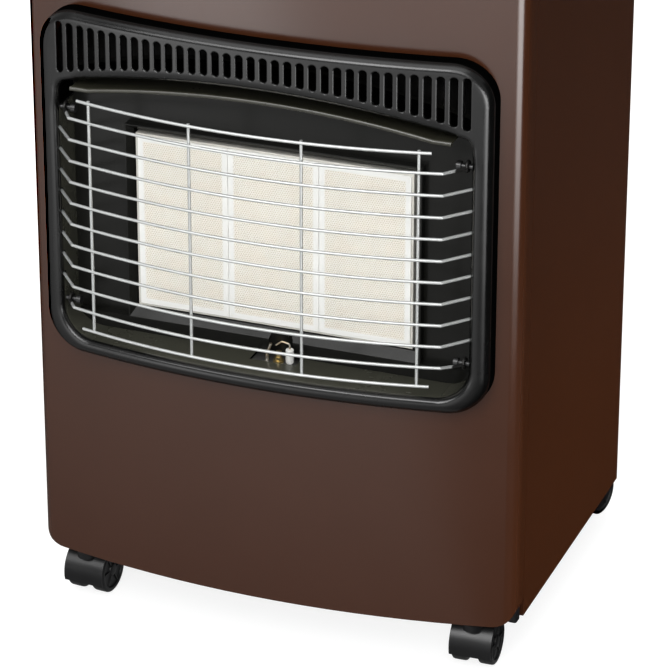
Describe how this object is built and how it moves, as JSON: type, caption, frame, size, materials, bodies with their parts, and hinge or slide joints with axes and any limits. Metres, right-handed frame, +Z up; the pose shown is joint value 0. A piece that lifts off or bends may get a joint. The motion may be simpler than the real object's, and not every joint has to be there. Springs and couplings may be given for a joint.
{
  "type": "portable gas cabinet heater",
  "caption": "Gas cabinet heater: bowed steel case on castors, radiant burner behind a wire guard, hinged rear door over the bottle bay",
  "frame": {"origin": "on the floor under the middle of the outer box", "axes": "+Z up, the front with the burner faces -Y, +X is to the right of a viewer in front"},
  "size_m": [0.42, 0.4362, 0.7315],
  "materials": {
    "brown_paint": "satin baked paint",
    "black_paint": "satin heat-proof paint",
    "black_enamel": "glossy enamel",
    "chrome_wire": "bright plated wire",
    "black_screw": "blackened steel",
    "plaque_ceramic": "porous unglazed",
    "grey_steel": "plain sheet",
    "zinc_sheet": "zinc-plated sheet",
    "gasket_fibre": "pressed mineral fibre",
    "cast_alloy": "die-cast",
    "brass": "turned",
    "pipe_alloy": "drawn tube",
    "white_ceramic": "glazed insulator",
    "probe_steel": "heat-tinted",
    "red_lead": "silicone sleeve",
    "black_plastic": "grained moulding",
    "castor_plastic": "moulded nylon",
    "grey_plastic": "moulded"
  },
  "bodies": {
    "case": {"front_panel": "brown_paint", "side_panel_left": "brown_paint", "side_panel_right": "brown_paint", "lid": "brown_paint", "control_panel": "black_plastic", "base_tray": "black_paint", "corner_blocks": "black_plastic", "rear_upper_panel": "brown_paint", "rear_screws": "black_screw", "door_hinge_lug": "zinc_sheet", "door_hinge_pins": "zinc_sheet", "door_catch": "zinc_sheet", "bezel": "black_paint", "guard": "chrome_wire", "guard_screws": "black_screw", "reflector": "black_enamel", "inner_hood": "black_enamel", "burner_frame": "grey_steel", "burner_mounts": "zinc_sheet", "plaque_gaskets": "gasket_fibre", "ceramic_plaque_left": "plaque_ceramic", "ceramic_plaque_centre": "plaque_ceramic", "ceramic_plaque_right": "plaque_ceramic", "burner_bodies": "zinc_sheet", "mixing_tubes": "zinc_sheet", "injector_bar": "zinc_sheet", "injectors": "brass", "heat_shield": "zinc_sheet", "gas_valve_body": "cast_alloy", "gas_pipes": "pipe_alloy", "inlet_pipe": "pipe_alloy", "hose_tail": "brass", "igniter_body": "grey_plastic", "ignition_lead": "red_lead", "pilot_bracket": "grey_steel", "pilot_burner": "brass", "pilot_tube": "pipe_alloy", "electrode_insulator": "white_ceramic", "spark_electrode": "probe_steel", "thermocouple": "probe_steel", "castor_stems": "grey_steel", "stem_bushes": "black_plastic"},
    "rear_door": {"rear_door": "brown_paint"},
    "valve_plunger": {"valve_plunger": "brass"},
    "control_knob": {"control_knob": "black_plastic", "valve_spindle": "grey_steel"},
    "igniter_button": {"igniter_button": "black_plastic"},
    "castor_front_left": {"castor_front_left_hood": "castor_plastic"},
    "castor_front_left_wheel_left": {"castor_front_left_wheel_left": "castor_plastic"},
    "castor_front_left_wheel_right": {"castor_front_left_wheel_right": "castor_plastic"},
    "castor_front_right": {"castor_front_right_hood": "castor_plastic"},
    "castor_front_right_wheel_left": {"castor_front_right_wheel_left": "castor_plastic"},
    "castor_front_right_wheel_right": {"castor_front_right_wheel_right": "castor_plastic"},
    "castor_rear_left": {"castor_rear_left_hood": "castor_plastic"},
    "castor_rear_left_wheel_left": {"castor_rear_left_wheel_left": "castor_plastic"},
    "castor_rear_left_wheel_right": {"castor_rear_left_wheel_right": "castor_plastic"},
    "castor_rear_right": {"castor_rear_right_hood": "castor_plastic"},
    "castor_rear_right_wheel_left": {"castor_rear_right_wheel_left": "castor_plastic"},
    "castor_rear_right_wheel_right": {"castor_rear_right_wheel_right": "castor_plastic"}
  },
  "joints": [
    {"name": "door_hinge", "type": "hinge", "parent": "case", "child": "rear_door", "pos_m": [-0.1935, 0.13512, 0.33], "axis": [0, 0, 1], "range_deg": [0, 100]},
    {"name": "knob_push", "type": "slide", "parent": "case", "child": "valve_plunger", "axis": [0, 0, -1], "range_m": [0, 0.004], "stiffness_N_per_m": 900, "springref_m": -0.003},
    {"name": "knob_turn", "type": "hinge", "parent": "valve_plunger", "child": "control_knob", "pos_m": [0.095, -0.10287, 0.7], "axis": [0, 0, 1], "range_deg": [0, 240]},
    {"name": "igniter_push", "type": "slide", "parent": "case", "child": "igniter_button", "axis": [0, 0, -1], "range_m": [0, 0.006], "stiffness_N_per_m": 900, "springref_m": -0.003},
    {"name": "swivel_front_left", "type": "hinge", "parent": "case", "child": "castor_front_left", "pos_m": [-0.173, -0.15088, 0.035], "axis": [0, 0, 1], "continuous": true},
    {"name": "roll_front_left_left", "type": "hinge", "parent": "castor_front_left", "child": "castor_front_left_wheel_left", "pos_m": [-0.1719, -0.13692, 0.02], "axis": [0.9969, -0.0785, 0], "continuous": true},
    {"name": "roll_front_left_right", "type": "hinge", "parent": "castor_front_left", "child": "castor_front_left_wheel_right", "pos_m": [-0.1719, -0.13692, 0.02], "axis": [0.9969, -0.0785, 0], "continuous": true},
    {"name": "swivel_front_right", "type": "hinge", "parent": "case", "child": "castor_front_right", "pos_m": [0.173, -0.15088, 0.035], "axis": [0, 0, 1], "continuous": true},
    {"name": "roll_front_right_left", "type": "hinge", "parent": "castor_front_right", "child": "castor_front_right_wheel_left", "pos_m": [0.17263, -0.13688, 0.02], "axis": [0.9997, 0.0262, 0], "continuous": true},
    {"name": "roll_front_right_right", "type": "hinge", "parent": "castor_front_right", "child": "castor_front_right_wheel_right", "pos_m": [0.17263, -0.13688, 0.02], "axis": [0.9997, 0.0262, 0], "continuous": true},
    {"name": "swivel_rear_left", "type": "hinge", "parent": "case", "child": "castor_rear_left", "pos_m": [-0.173, 0.13512, 0.035], "axis": [0, 0, 1], "continuous": true},
    {"name": "roll_rear_left_left", "type": "hinge", "parent": "castor_rear_left", "child": "castor_rear_left_wheel_left", "pos_m": [-0.17154, 0.14905, 0.02], "axis": [0.9945, -0.1045, 0], "continuous": true},
    {"name": "roll_rear_left_right", "type": "hinge", "parent": "castor_rear_left", "child": "castor_rear_left_wheel_right", "pos_m": [-0.17154, 0.14905, 0.02], "axis": [0.9945, -0.1045, 0], "continuous": true},
    {"name": "swivel_rear_right", "type": "hinge", "parent": "case", "child": "castor_rear_right", "pos_m": [0.173, 0.13512, 0.035], "axis": [0, 0, 1], "continuous": true},
    {"name": "roll_rear_right_left", "type": "hinge", "parent": "castor_rear_right", "child": "castor_rear_right_wheel_left", "pos_m": [0.17603, 0.14879, 0.02], "axis": [0.9763, -0.2164, 0], "continuous": true},
    {"name": "roll_rear_right_right", "type": "hinge", "parent": "castor_rear_right", "child": "castor_rear_right_wheel_right", "pos_m": [0.17603, 0.14879, 0.02], "axis": [0.9763, -0.2164, 0], "continuous": true}
  ]
}
